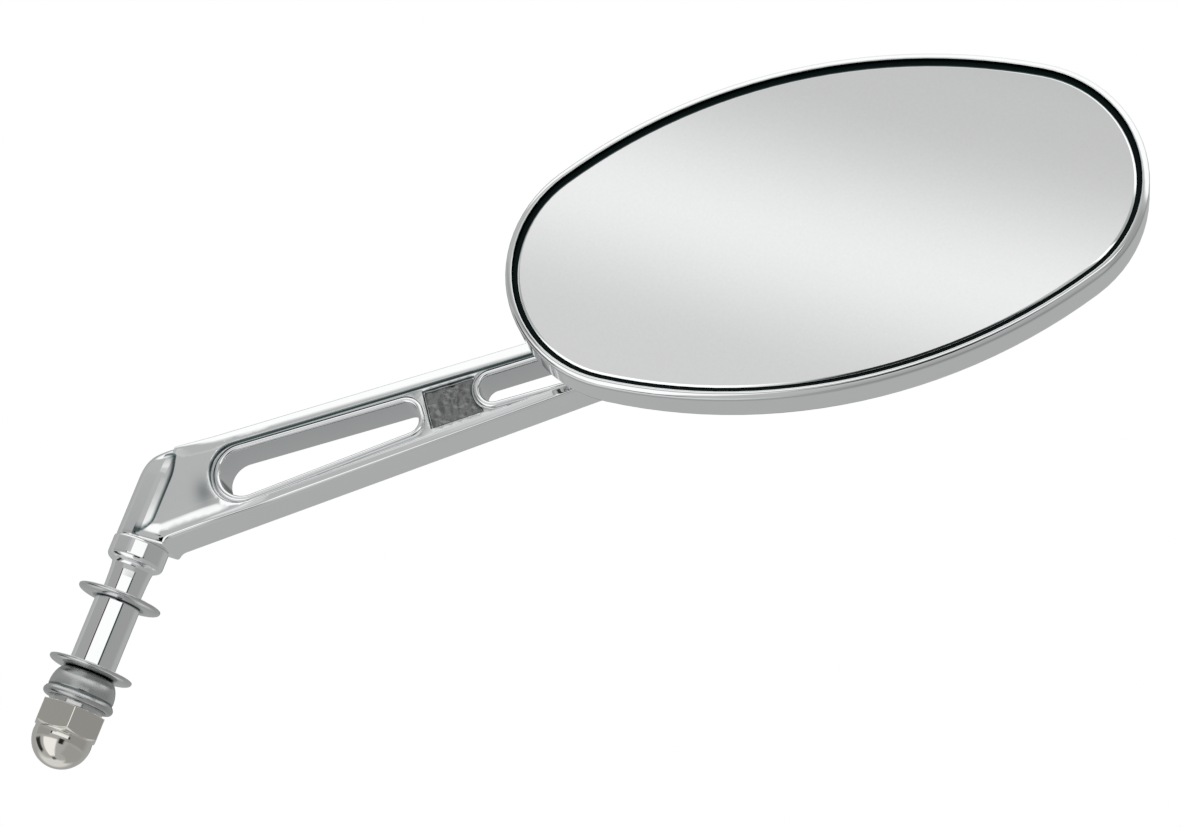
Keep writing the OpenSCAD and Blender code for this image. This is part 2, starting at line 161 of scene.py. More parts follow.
class Build:
    """Points and faces of a piece while it is being made."""

    def __init__(self):
        self.verts = []
        self.faces = []
        self.painted_dark = {}

    def mark(self, row, value):
        """Paints shade on the points of a row, such as the bottom of a groove."""
        for index in row:
            self.painted_dark[index] = value

    def paint_shades(self, rows, *values):
        """Paints shade on rows one by one."""
        for row, value in zip(rows, values):
            self.mark(row, value)

    def loop(self, points):
        """Adds points and gives their row."""
        start = len(self.verts)
        self.verts.extend([tuple(p) for p in points])
        return list(range(start, start + len(points)))

    def bridge(self, a, b):
        """Closes the gap between two rows of one length, or between a row and a point."""
        if len(a) < len(b):
            a, b = b, a
        n = len(a)
        for i in range(n):
            j = (i + 1) % n
            self.faces.append((a[i], a[j], b[j], b[i]) if len(b) > 1 else (b[0], a[i], a[j]))

    def tube(self, loops, closed=False):
        """Joins loops of points one after another."""
        rows = [self.loop(p) for p in loops]
        for a, b in zip(rows, rows[1:]):
            self.bridge(a, b)
        if closed:
            self.bridge(rows[-1], rows[0])
        return rows

    def cap(self, row):
        """Closes a row with one face."""
        self.faces.append(tuple(row))

    def lathe(self, profile, place, segments=96, closed=True):
        """Turns a profile of (radius, height, painted shade) about an axis; place maps to the row frame.

        A point on the axis gives a row of one point.
        """
        steps = held(profile, closed)
        loops = []
        for r, h, _ in steps:
            ring = circle(r, segments) if r > 1e-6 else [(0, 0)]
            loops.append([place(x, y, h) for x, y in ring])
        for row, (_, _, painted_dark) in zip(self.tube(loops, closed), steps):
            self.mark(row, painted_dark)

    def fill(self, loops, extra, place):
        """Fills the flat region between loops given as (points, rows); extra points lie inside it."""
        flat = []
        index = []
        edges = []
        for points, row in loops:
            base = len(flat)
            flat.extend(points)
            index.extend(row)
            n = len(points)
            edges.extend([(base + i, base + (i + 1) % n) for i in range(n)])
        for p in extra:
            flat.append(p)
            index.append(len(self.verts))
            self.verts.append(tuple(place(*p)))
        ends = np.array([(flat[a], flat[b]) for a, b in edges])
        done = geometry.delaunay_2d_cdt([Vector(p) for p in flat], edges, [], 0, 1e-6)
        back = [origin[0] if origin else None for origin in done[3]]
        for tri in done[2]:
            mid = sum((done[0][v] for v in tri), Vector((0, 0))) / len(tri)
            if odd_inside(ends, mid) and all(back[v] is not None for v in tri):
                self.faces.append(tuple(index[back[v]] for v in tri))


def odd_inside(ends, p):
    """Whether a point is inside an odd number of loops, whose edges are the rows of ends."""
    y0, y1 = ends[:, 0, 1], ends[:, 1, 1]
    crosses = (y0 > p[1]) != (y1 > p[1])
    e = ends[crosses]
    if not len(e):
        return False
    x = e[:, 0, 0] + (p[1] - e[:, 0, 1]) * (e[:, 1, 0] - e[:, 0, 0]) / (e[:, 1, 1] - e[:, 0, 1])
    return int((x > p[0]).sum()) % 2 == 1


def inset_points(points, distance):
    """Moves a counter-clockwise outline inwards along its own normals."""
    p = np.array(points)
    ahead = np.roll(p, -1, 0) - p
    ahead /= np.linalg.norm(ahead, axis=1)[:, None]
    behind = np.roll(ahead, 1, 0)
    n0 = np.stack([-behind[:, 1], behind[:, 0]], 1)
    n1 = np.stack([-ahead[:, 1], ahead[:, 0]], 1)
    mid = n0 + n1
    mid /= (mid * n1).sum(1)[:, None]
    return [tuple(q) for q in p + distance * mid]


def smooth(x):
    """Eases from 0 to 1 as x does."""
    x = min(1.0, max(0.0, x))
    return x * x * (3 - 2 * x)


def in_head(a, b, d):
    """Long axis, short axis and depth behind the lip, to the row frame."""
    return (
        PIVOT[0] + a * math.cos(TURN) - b * math.sin(TURN),
        PIVOT[1] + d,
        PIVOT[2] + a * math.sin(TURN) + b * math.cos(TURN),
    )


def in_arm(s, w, y):
    """Along the arm from the bend, across it and depth, to the row frame."""
    return (
        s * math.cos(RISE) - w * math.sin(RISE),
        y,
        BEND_Z + s * math.sin(RISE) + w * math.cos(RISE),
    )


def to_arm(x, z):
    """Along the arm and across it, from the row frame."""
    z -= BEND_Z
    return (
        x * math.cos(RISE) + z * math.sin(RISE),
        -x * math.sin(RISE) + z * math.cos(RISE),
    )


def wire(tree, *pairs):
    """Links each (source, target) pair of sockets."""
    for source, target in pairs:
        tree.links.new(source, target)


def set_inputs(node, **values):
    """Sets inputs of a node by name, with _ for a space."""
    for name, value in values.items():
        node.inputs[name.replace("_", " ")].default_value = value


def add_node(tree, kind, **values):
    """Adds a node with its inputs set."""
    made = tree.nodes.new(kind)
    set_inputs(made, **values)
    return made


def sum_node(tree, operation, a, b):
    """A maths node whose two values are numbers or sockets."""
    made = tree.nodes.new("ShaderNodeMath")
    made.operation = operation
    for socket, value in zip(made.inputs, (a, b)):
        if isinstance(value, (int, float)):
            socket.default_value = value
        else:
            tree.links.new(value, socket)
    return made.outputs[0]


def mix_shaders(tree, share, first, second):
    """Mixes two shaders by a socket: 0 gives the first."""
    made = tree.nodes.new("ShaderNodeMixShader")
    wire(tree, *zip((share, first, second), made.inputs))
    return made.outputs[0]


def mix_colours(tree, share, first, second):
    """Mixes two colours by a socket: 0 gives the first."""
    made = tree.nodes.new("ShaderNodeMix")
    made.data_type = "RGBA"
    wire(tree, (share, made.inputs["Factor"]), (first, made.inputs[6]), (second, made.inputs[7]))
    return made.outputs[2]


def effect(name, takes, gives, group="ShaderNodeTree"):
    """Starts a node group; takes and gives list its sockets as (name, kind)."""
    tree = bpy.data.node_groups.new(name, group)
    for label, kind in takes:
        tree.interface.new_socket(label, in_out="INPUT", socket_type="NodeSocket" + kind)
    for label, kind in gives:
        tree.interface.new_socket(label, in_out="OUTPUT", socket_type="NodeSocket" + kind)
    return tree, tree.nodes.new("NodeGroupInput").outputs, tree.nodes.new("NodeGroupOutput").inputs


def spots(tree, given, detail):
    """Noise at the group's own place and scale."""
    made = add_node(tree, "ShaderNodeTexNoise", Detail=detail)
    wire(tree, (given["Vector"], made.inputs["Vector"]), (given["Scale"], made.inputs["Scale"]))
    return made.outputs["Fac"]


def cloud_effect():
    """Slow change between two colours over a surface."""
    tree, given, result = effect(
        "surface_clouds",
        [("Vector", "Vector"), ("Scale", "Float"), ("Low", "Color"), ("High", "Color")],
        [("Color", "Color")],
    )
    share = spots(tree, given, 4.0)
    mixed = mix_colours(tree, share, given["Low"], given["High"])
    wire(tree, (mixed, result["Color"]))
    return tree


def grain_effect():
    """Grain of a surface: its roughness between two values, and its height."""
    tree, given, result = effect(
        "surface_grain",
        [("Vector", "Vector"), ("Scale", "Float"), ("Low", "Float"), ("High", "Float")],
        [("Roughness", "Float"), ("Height", "Float")],
    )
    height = spots(tree, given, 3.0)
    spread = add_node(tree, "ShaderNodeMapRange", From_Min=0.3, From_Max=0.7)
    wire(
        tree,
        (height, spread.inputs["Value"]), (height, result["Height"]),
        (given["Low"], spread.inputs["To Min"]), (given["High"], spread.inputs["To Max"]),
        (spread.outputs["Result"], result["Roughness"]),
    )
    return tree


def crevice_effect():
    """Painted shade: darkens a colour where a piece's painted shade attribute says so."""
    tree, given, result = effect(
        "crevice_dark", [("Color", "Color"), ("Deep", "Color")], [("Color", "Color")]
    )
    mask = tree.nodes.new("ShaderNodeAttribute")
    mask.attribute_name = "crevice"
    mixed = mix_colours(tree, mask.outputs["Fac"], given["Color"], given["Deep"])
    wire(tree, (mixed, result["Color"]))
    return tree


EFFECTS = {}
MATERIALS = {}


class Finish:
    """A node material under construction."""

    def __init__(self, name):
        self.material = bpy.data.materials.new(name)
        self.material.use_nodes = True
        self.tree = self.material.node_tree
        self.nodes = self.tree.nodes
        self.shader = self.nodes["Principled BSDF"]
        self.coords = self.nodes.new("ShaderNodeTexCoord").outputs["Object"]

    def place(self, kind, **values):
        """Places a shared effect with its own values; a colour is given with three numbers."""
        made = self.nodes.new("ShaderNodeGroup")
        made.node_tree = EFFECTS[kind]
        if "Vector" in made.inputs:
            wire(self.tree, (self.coords, made.inputs["Vector"]))
        for name, value in values.items():
            made.inputs[name].default_value = value if isinstance(value, float) else (*value, 1.0)
        return made

    def colour(self, clouds, deep=None):
        """Feeds Base Color from the clouds, through painted shade in creases where deep is given."""
        source = clouds.outputs["Color"]
        if deep:
            painted_dark = self.place("crevice", Deep=deep)
            wire(self.tree, (source, painted_dark.inputs["Color"]))
            source = painted_dark.outputs["Color"]
        wire(self.tree, (source, self.shader.inputs["Base Color"]))

    def rough(self, grain):
        """Feeds Roughness from the grain."""
        wire(self.tree, (grain.outputs["Roughness"], self.shader.inputs["Roughness"]))

    def bump(self, grain, strength, distance):
        """Feeds Normal from the height of the grain."""
        made = add_node(self.tree, "ShaderNodeBump", Strength=strength, Distance=distance)
        wire(
            self.tree,
            (grain.outputs["Height"], made.inputs["Height"]),
            (made.outputs["Normal"], self.shader.inputs["Normal"]),
        )


def plated(name, tint, dull, ripple=0.02, cloud=0.035):
    """Bright plate: faint clouding of its roughness, the slight ripple of a polished casting, and painted
    shade in its creases.
    """
    f = Finish(name)
    set_inputs(f.shader, Metallic=1.0)
    low, high = [c * 0.97 for c in tint], [min(1.0, c * 1.03) for c in tint]
    # Painted shade: dark teal where a piece's points say so, standing in for shade in creases and grooves.
    f.colour(f.place("cloud", Scale=60.0, Low=low, High=high), (0.012, 0.05, 0.05))
    f.rough(f.place("grain", Scale=260.0, Low=dull, High=dull + cloud))
    f.bump(f.place("grain", Scale=55.0), ripple, 0.002)
    return f.material


# Name, darkest and lightest colour, roughness, scale and strength of the grain, metal, shine
MOULDED = {
    "steel": ("zinc_steel", (0.6, 0.61, 0.62), (0.74, 0.75, 0.76), 0.3, 700.0, 0.1, 1.0),
    "spring": ("spring_steel", (0.22, 0.22, 0.23), (0.32, 0.32, 0.33), 0.35, 700.0, 0.1, 1.0),
    "nylon": ("natural_nylon", (0.72, 0.71, 0.66), (0.8, 0.79, 0.75), 0.45),
    "rubber": ("black_rubber", (0.001, 0.004, 0.004), (0.003, 0.008, 0.008), 0.5, 900.0, 0.15, 0.0, 0.06),
    "paint": ("black_paint", (0.02, 0.02, 0.022), (0.04, 0.04, 0.042), 0.35),
    "foam": ("black_foam", (0.015, 0.015, 0.015), (0.03, 0.03, 0.03), 0.9, 500.0, 0.5),
}


def moulded(name, low, high, rough, scale=900.0, grain=0.15, metal=0.0, shine=0.5):
    """Dull or moulded surface with fine grain."""
    f = Finish(name)
    set_inputs(f.shader, Metallic=metal, Specular_IOR_Level=shine)
    f.colour(f.place("cloud", Scale=120.0, Low=low, High=high))
    fine = f.place("grain", Scale=scale, Low=rough - 0.06, High=rough + 0.06)
    f.rough(fine)
    f.bump(fine, grain, 0.0003)
    return f.material


def silvered():
    """Silvered glass: a very smooth metal with the faintest grain, under a clear coat."""
    f = Finish("silvered_glass")
    set_inputs(f.shader, Metallic=1.0, Coat_Weight=0.2, Coat_Roughness=0.02)
    f.colour(f.place("cloud", Scale=1500.0, Low=(0.93, 0.935, 0.94), High=(0.985, 0.99, 0.99)))
    f.rough(f.place("grain", Scale=40.0, Low=0.03, High=0.05))
    f.bump(f.place("grain", Scale=18.0), 0.02, 0.001)
    return f.material


def materials():
    """Makes the shared effects and every finish once."""
    look = bpy.context.scene.mirror_look
    chrome = list(look.chrome)
    EFFECTS.update(cloud=cloud_effect(), grain=grain_effect(), crevice=crevice_effect())
    MATERIALS.update(
        chrome=plated("polished_chrome", chrome, look.chrome_dull),
        cast=plated("rough_cast_chrome", [c * 0.25 for c in chrome], 0.22, 0.3, 0.15),
        nickel=plated("warm_nickel", list(look.nickel), 0.05, 0.05),
        zinc=plated("bright_zinc", [c * 0.72 for c in chrome], 0.14, 0.06, 0.14),
        dull_zinc=plated("dull_zinc", [c * 0.58 for c in chrome], 0.17, 0.1, 0.16),
        **{key: moulded(*values) for key, values in MOULDED.items()},
        mirror=silvered(),
    )


def shade(name, note, default):
    """A colour that can be set in the panel."""
    return bpy.props.FloatVectorProperty(
        name=name, description=note, subtype="COLOR", size=3, min=0, max=1, default=default,
    )


def length(name, note, low, high, default):
    """A length that can be set in the panel, in metres."""
    return bpy.props.FloatProperty(
        name=name, description=note, unit="LENGTH", min=low, max=high, default=default,
    )


class MirrorLook(bpy.types.PropertyGroup):
    """Colours and finish of the mirror."""

    chrome: shade("Chrome", "Colour of the bright plate", (0.87, 0.878, 0.882))
    nickel: shade("Nickel", "Colour of the cap nut", (0.74, 0.72, 0.67))
    chrome_dull: bpy.props.FloatProperty(
        name="Chrome roughness", description="Lowest roughness of the bright plate",
        min=0, max=0.5, default=0.025,
    )


class MirrorSizes(bpy.types.PropertyGroup):
    """Small forms that only the finished pieces have."""

    edge_round: length("Arm edge", "Rounding of the arm's long edges", 0.0002, 0.0009, 0.00055)
    bead_h: length("Bead height", "Height of the beads around the slots", 0.0002, 0.0008, 0.0006)
    arris: length("Glass arris", "Width of the ground edge of the glass", 0.0001, 0.001, 0.0005)
    thread_pitch: length("Stud pitch", "Pitch of the stud's thread", 0.0007, 0.002, 0.00106)


# The arm: half width at the bend, taper, half thickness, depth of the recess and rough floor,
# socket radius, and the heights of its foot and of its rounded corner
HALF = 9.85
LEAN = math.tan(math.radians(1.92))
FACE = 5.0
RECESS = 1.0
ROUGH = 1.75
SOCKET = 5.65
FOOT_Z = 13.0
CORNER_Z = 26.6


def half(s):
    """Half the arm's width, which tapers towards the head."""
    return HALF - s * LEAN


def edge_turn(r, n=4):
    """Quarter round as (inset, fall) from the face to the side."""
    turns = [math.pi / 2 * k / n for k in range(n + 1)]
    return [(r * (1 - math.sin(t)), r * (1 - math.cos(t))) for t in turns]


def flare(s, w):
    """How far the front face comes forward along the foot."""
    x, _, z = in_arm(s, w, 0)
    low = min(z - FOOT_Z, half(s) + w)
    near = smooth((x - 1.5) / 3.0)
    fall = 1 - smooth((low - 0.45 - 0.4 * near) / 4.3)
    return (0.65 + 0.33 * near) * fall * (1 - smooth((s - 9) / 16))


def crown(s, w):
    """The upper rail leans back towards its outer edge."""
    share = max(0.0, (w - half(s)) / 2.9 + 1)
    return (0.42 * share + 0.3 * share * share) * smooth((s - 4) / 14)


def shade_patch(s, w):
    """Soft dark patch of painted shade on the plate in front of the recess."""
    return 0.5 * math.exp(-(((s - 11.2) / 1.9) ** 2) - ((w + 2.2) / 2.8) ** 2)


def face_y(s, w):
    """Depth of the arm's front face."""
    return -FACE - flare(s, w) + crown(s, w)


def floor_y(s, w):
    """Depth of the recess."""
    return -FACE + RECESS


def rough_y(s, w):
    """Depth of the rough floor between the slots, with its lumps."""
    lumps = noise.noise(Vector((s * 0.8, w * 0.8, 3.1))) * 0.3
    grit = noise.noise(Vector((s * 2.6, w * 2.6, 7.7))) * 0.1
    return -FACE + ROUGH + lumps + grit


def arm_outline():
    """Outline of the flat arm with its foot, counter-clockwise."""
    far = REACH + 3
    foot = [
        to_arm(-0.5, FOOT_Z) + (0.3,), to_arm(6.9, FOOT_Z) + (0.6,), to_arm(7.25, FOOT_Z + 1.55) + (3.2,),
    ]
    return rounded(
        [(7.5, half(7.5))] + foot
        + [(s, -half(s)) for s in (24, 44, 64, 84, 104, 124)]
        + [(far, -half(far)), (far, half(far))]
        + [(s, half(s)) for s in (124, 104, 84, 64, 44, 24)],
        8, True,
    )


def slot_outlines():
    """Outlines of the long and the short slot."""
    long_slot = rounded([(15, 4.65, 4.9), (15, -5.73, 4.9), (57.5, -3.54, 2.7), (57.4, 2.8, 2.4)], 14, True)
    short_slot = rounded([(71, 2.66, 2.7), (71, -2.94, 2.7), (88.9, -3.85, 0.9), (87.2, 2.23, 1.3)], 14, True)
    return long_slot, short_slot


def recess_outline():
    """Outline of the recess between the rails."""
    near, far, upper, lower = 12.9, 91, 2.9, 2.2
    return rounded([
        (near, half(near) - upper, 6.3), (near, lower - half(near), 6.3),
        (far, lower - half(far), 3.5), (far, half(far) - upper, 3.5),
    ], 14, True)


def bridge_outline(short_slot):
    """Outline of the rough floor, up to the bead of the short slot."""
    lip = [p for p in inset_points(short_slot, -1.75) if p[0] < 71.2 and -3.7 < p[1] < 3.4]
    lip.sort(key=lambda p: p[1])
    return [(59.55, 4.1), (59.25, -4.35), (70.5, -4.3)] + lip + [(70.6, 3.85)]


def grid_points(box, step, outer, holes, clear):
    """Points of a grid inside outer and outside holes, kept clear of both by a distance."""
    s0, s1, w0, w1 = box
    bound = []
    for loop in [inset_points(outer, clear)] + [inset_points(h, -clear) for h in holes]:
        bound += [(loop[i], loop[(i + 1) % len(loop)]) for i in range(len(loop))]
    ends = np.array(bound)
    found = []
    for i in range(int((s1 - s0) / step) + 1):
        for j in range(int((w1 - w0) / step) + 1):
            p = (s0 + i * step + (step / 2 if j % 2 else 0), w0 + j * step)
            if odd_inside(ends, p):
                found.append(p)
    return found


def densify(points, longest):
    """Splits the long sides of an outline, so that a bent face has points to bend at."""
    out = []
    for i, p in enumerate(points):
        q = points[(i + 1) % len(points)]
        n = max(1, int(math.hypot(q[0] - p[0], q[1] - p[1]) / longest))
        out += [(p[0] + (q[0] - p[0]) * k / n, p[1] + (q[1] - p[1]) * k / n) for k in range(n)]
    return out


def stepped(outline, profile, top, bottom):
    """Loops along an outline, whose (inset, share) steps lead from one depth to another."""
    loops = []
    for inset, share in profile:
        points = inset_points(outline, inset)
        loops.append([in_arm(s, w, top(s, w) + share * (bottom(s, w) - top(s, w))) for s, w in points])
    return loops


class MIRROR_OT_arm(bpy.types.Operator):
    """Cast arm with rails, recess, beaded slots, rough bridge and round socket."""

    bl_idname = "mirror.arm"
    bl_label = "Arm casting"

    def execute(self, context):
        sizes = context.scene.mirror_sizes
        r = sizes.edge_round / MM
        b = Build()
        outline = densify(arm_outline(), 2.0)
        long_slot, short_slot = [densify(slot, 2.0) for slot in slot_outlines()]
        recess = densify(recess_outline(), 2.0)
        bridge = densify(bridge_outline(short_slot), 1.0)

        edge = 1.6
        side = []
        for inset, fall in [(edge, 0), (1.25, 0), (0.9, 0)] + edge_turn(r):
            pts = inset_points(outline, inset)
            side.append([in_arm(s, w, face_y(s, w) + fall) for s, w in pts])
        for inset, fall in reversed(edge_turn(r)):
            side.append([in_arm(s, w, FACE - fall) for s, w in inset_points(outline, inset)])
        side_rows = b.tube(side)
        face_edge = inset_points(outline, edge)
        back_edge = inset_points(outline, r)

        wall = [(-0.25, 0), (-0.1, 0.06), (0, 0.25), (0.03, 0.7), (0.12, 0.95), (0.33, 1)]
        recess_rows = b.tube(stepped(recess, wall, face_y, floor_y))
        # Painted shade down the recess wall, heavier towards the arm's upper edge.
        for row, value in zip(recess_rows, (0, 0.15, 0.6, 0.95, 0.95, 0.3)):
            for index, (s, w) in zip(row, recess):
                b.mark([index], value * (0.3 + 0.7 * smooth((w + 3.5) / 4)))
        rim, sunk = inset_points(recess, wall[0][0]), inset_points(recess, wall[-1][0])
        elbow = grid_points((-9, 26, -12, 9), 0.7, face_edge, [rim], 0.4)
        first = len(b.verts)
        b.fill([(face_edge, side_rows[0]), (rim, recess_rows[0])], elbow,
               lambda s, w: in_arm(s, w, face_y(s, w)))
        # Painted shade: a soft dark patch on the face in front of the recess.
        for k, (s, w) in enumerate(elbow):
            b.mark([first + k], shade_patch(s, w))

        h = sizes.bead_h / MM
        bead = [(-1.5, 0), (-1.38, 0.06), (-1.3, 0.3), (-1.18, 0.62), (-0.98, 0.88), (-0.65, 1),
                (-0.32, 0.88), (-0.1, 0.5), (0, 0)]
        through = [(0, 0.4), (-0.1, 0.1), (-0.4, 0)]
        foot = []
        back = []
        for slot in (long_slot, short_slot):
            loops = stepped(slot, bead, floor_y, lambda s, w: floor_y(s, w) - h)
            for inset, fall in through:
                loops.append([in_arm(s, w, FACE - fall) for s, w in inset_points(slot, inset)])
            rows = b.tube(loops)
            # Painted shade at the foot of each bead and where the slot goes through.
            b.paint_shades([rows[0], rows[8], rows[9]], 0.3, 0.3, 0.25)
            foot.append((inset_points(slot, bead[0][0]), rows[0]))
            back.append((inset_points(slot, through[-1][0]), rows[-1]))

        drop = [(-0.12, 0.0), (0, 0.12), (0.05, 0.75), (0.3, 1)]
        bridge_rows = b.tube(stepped(bridge, drop, floor_y, rough_y))
        # Painted shade down the step to the rough floor.
        b.paint_shades(bridge_rows, 0.1, 0.5, 0.7, 0.3)
        low = inset_points(bridge, drop[-1][0])
        rough = Build()
        border = rough.loop([in_arm(s, w, rough_y(s, w)) for s, w in low])
        # Painted shade round the rough floor's edge.
        rough.mark(border, 0.6)
        rough.fill([(low, border)], grid_points((59, 72, -5, 5), 0.3, low, [], 0.15),
                   lambda s, w: in_arm(s, w, rough_y(s, w)))
        piece("rough_bridge", rough, MATERIALS["cast"], "arm_body", "chrome")
        ledge = (inset_points(bridge, drop[0][0]), bridge_rows[0])
        b.fill([(sunk, recess_rows[-1]), foot[0], foot[1], ledge],
               grid_points((8, 24, -8, 8), 0.7, sunk, [foot[0][0]], 0.3),
               lambda s, w: in_arm(s, w, floor_y(s, w)))
        b.fill([(back_edge, side_rows[-1])] + back, [], lambda s, w: in_arm(s, w, FACE))
        arm_socket(b)
        b.lathe(
            rounded([(3.05, -5.4), (8, -5.4, 0.4), (8, 5.4, 0.4), (3.05, 5.4)], 4),
            lambda x, y, d: in_arm(REACH + x, y, d), 72,
        )
        piece("arm_casting", b, MATERIALS["chrome"], "arm_body", "chrome", "arm")
        return {"FINISHED"}


def arm_socket(b):
    """The round socket: its top follows the arm's upper edge and rolls over to its sides.

    Its front draws back a little near the top, so that the crease where it meets the plate bends
    like an S; a dark line of painted shade runs along the crease.
    """
    touch = RISE - math.atan(LEAN)
    slope = math.tan(touch)
    join = (-SOCKET * math.sin(touch), CORNER_Z + SOCKET * math.cos(touch))

    def top(x):
        if x < join[0]:
            return CORNER_Z + math.sqrt(max(0, SOCKET * SOCKET - x * x))
        return join[1] + slope * (x - join[0])

    def roll(d, r=3.0):
        return 0 if d >= r else r - math.sqrt(r * r - (r - d) ** 2)

    base, steps, segments = FOOT_Z + 0.5, 25, 240
    foot = ((3.0, FOOT_Z), (SOCKET - 0.5, FOOT_Z), (SOCKET - 0.15, FOOT_Z + 0.12), (SOCKET, base))
    loops = [[(x, y, z) for x, y in circle(radius, segments)] for radius, z in foot]
    ring = circle(SOCKET, segments)
    for k in range(1, steps):
        loops.append([(x, y, base + (top(x) - roll(0) - base) * k / steps) for x, y in ring])
    steps = 28
    for k in range(steps):
        share = math.cos(math.pi / 2 * k / steps)
        points = []
        for x, y in ((share * x, share * y) for x, y in ring):
            gap = math.sqrt(max(0, SOCKET * SOCKET - x * x)) - abs(y)
            points.append((x, y, top(x) - roll(max(0, gap))))
        loops.append(points)
    rows = b.tube(loops)
    # Painted shade round the socket's foot.
    b.paint_shades(rows, 0.8, 0.8)
    b.cap(rows[0])
    b.cap(rows[-1])
    for index in (index for row in rows[3:] for index in row):
        x, y, z = b.verts[index]
        if y >= 0:
            continue
        y *= 1 - 0.08 * smooth((z - 27.0) / 6.0)
        b.verts[index] = (x, y, z)
        # Painted shade: a dark line along the crease where the socket's front meets the plate.
        if x > -0.6:
            away = abs(y - face_y(*to_arm(x, z)) + 0.1)
            b.painted_dark[index] = 0.95 * (1 - smooth(away / 0.3)) * (1 - smooth((z - 32.2) / 1.2))


# The head's oval of four arcs: half length and width, radius of the ends; then the sides' radius
# and centre and where the arcs meet, and how far in the glass and the lip's inner edge lie
HALF_LEN, HALF_WID, END_R = 63.0, 34.2, 25.6
END_X = HALF_LEN - END_R
SIDE_R = (END_X**2 + HALF_WID**2 - END_R**2) / (2 * (HALF_WID - END_R))
SIDE_Y = SIDE_R - HALF_WID
BLEND = math.degrees(math.atan2(END_X, SIDE_Y))
GLASS_IN = 2.45
LIP = 1.42


def oval(inset, n_end=26, n_side=26):
    """The oval's outline, drawn in, counter-clockwise in (long axis, short axis)."""
    parts = [
        arc(END_X, 0, END_R - inset, BLEND - 90, 90 - BLEND, n_end)[:-1],
        arc(0, -SIDE_Y, SIDE_R - inset, 90 - BLEND, 90 + BLEND, n_side)[:-1],
        arc(-END_X, 0, END_R - inset, 90 + BLEND, 270 - BLEND, n_end)[:-1],
        arc(0, SIDE_Y, SIDE_R - inset, 270 - BLEND, 270 + BLEND, n_side)[:-1],
    ]
    return [p for part in parts for p in part]


def oval_at(inset, depth):
    """The oval at a depth behind the lip, in the row frame."""
    return [in_head(a, c, depth) for a, c in oval(inset)]


class MIRROR_OT_housing(bpy.types.Operator):
    """Chromed oval housing with its lip, side band, back and ball socket."""

    bl_idname = "mirror.housing"
    bl_label = "Housing"

    def execute(self, context):
        b = Build()
        shoulder, start, depth, wall = 6.0, 8.25, 16.0, 2.0
        bend = math.radians(70)
        back_r = (depth - start - shoulder * math.sin(bend)) / (1 - math.sin(bend))
        flat_in = shoulder * (1 - math.cos(bend)) + back_r * math.cos(bend)
        outside = [(3.4, 4.5), (LIP, 4.5), (LIP, 0.4), (LIP, 0.15)]
        outside += arc(LIP - 0.12, 0.12, 0.12, 0, -90, 3)[1:]
        outside += arc(1.2, 1.2, 1.2, 270, 180, 9)
        lip_edge = len(outside) - 1
        outside += [(0.0, 1.9), (0.0, 3.0), (0.0, 5.6)]
        outside += arc(shoulder, start, shoulder, 180, 110, 16)
        outside += arc(flat_in, depth - back_r, back_r, 110, 90, 14)[1:]
        inside = arc(flat_in, depth - back_r, back_r - wall, 90, 110, 6)
        inside += arc(shoulder, start, shoulder - wall, 110, 180, 6)[1:]
        inside += [(2.0, 6.7), (3.4, 5.3), (3.4, 4.5)]
        outer_rows = b.tube([oval_at(i, d) for i, d in outside])
        # Painted shade on the lip's inner wall and along its outer roll.
        b.paint_shades(outer_rows[1:3], 0.95, 0.95)
        b.paint_shades(outer_rows[lip_edge - 3:], 0.1, 0.3, 0.36, 0.3)
        inner_rows = b.tube([oval_at(i, d) for i, d in inside[:-1]])
        b.bridge(inner_rows[-1], outer_rows[0])

        foot_r, bore_r, post_ring = 12.9, 9.65, 13.6
        boss = [(foot_r, depth), (12.3, 16.08), (11.95, 16.4)]
        boss += rounded([(11.9, 17.0), (11.05, 20.0, 0.6), (5.25, 20.0, 0.2), (5.07, 19.9)], 5)
        boss += arc(0, 15.0, 7.05, 44, 0, 10)
        boss += [(7.05, 6.93), (bore_r, 6.93), (bore_r, 14.0)]
        rows = b.tube([[in_head(x, y, d) for x, y in circle(r)] for r, d in boss])
        b.fill([(oval(flat_in), outer_rows[-1]), (circle(foot_r), rows[0])], [],
               lambda s, w: in_head(s, w, depth))
        b.fill([(oval(flat_in), inner_rows[0]), (circle(bore_r), rows[-1])], [],
               lambda s, w: in_head(s, w, depth - wall))
        for turn in (90, 210, 330):
            px, py = arc(0, 0, post_ring, turn, turn, 0)[0]
            b.lathe([(1.3, 6.93), (2.75, 6.93), (2.75, 15.0), (1.3, 15.0)],
                    lambda x, y, d, px=px, py=py: in_head(px + x, py + y, d), 32)
        piece("housing", b, MATERIALS["chrome"], "head", "chrome", "head_shell")
        return {"FINISHED"}


class MIRROR_OT_glass(bpy.types.Operator):
    """Silvered glass with a ground edge, in its black rubber strip."""

    bl_idname = "mirror.glass"
    bl_label = "Glass and rubber strip"

    def execute(self, context):
        arris = context.scene.mirror_sizes.arris / MM
        b = Build()
        front, back = 0.8, 2.8
        edge = [(0, 0.45), (0.12, 0.3), (0.92, 0.03), (1, 0)]
        rows = b.tube(
            [oval_at(GLASS_IN, back)] + [oval_at(GLASS_IN + arris * i, front + arris * d) for i, d in edge]
        )
        b.cap(rows[0])
        b.cap(rows[-1])
        piece("glass", b, MATERIALS["mirror"], "head", "mirror_glass", "mirror_glass")
        b = Build()
        b.tube([oval_at(i, d) for i, d in rounded(
            [(1.33, 4.47), (1.33, 1.1, 0.25), (2.42, 1.1, 0.25), (2.42, 4.47)], 3)], True)
        piece("rubber_strip", b, MATERIALS["rubber"], "head", "black_rubber", "edge_gasket")
        return {"FINISHED"}


# Radii of the stud, sleeve and washers, length of the sleeve and thickness of a washer
STUD_R = 3.97
SLEEVE_R = 4.765
SLEEVE_L = 14.3
WASHER_R = 8.74
WASHER_T = 1.2


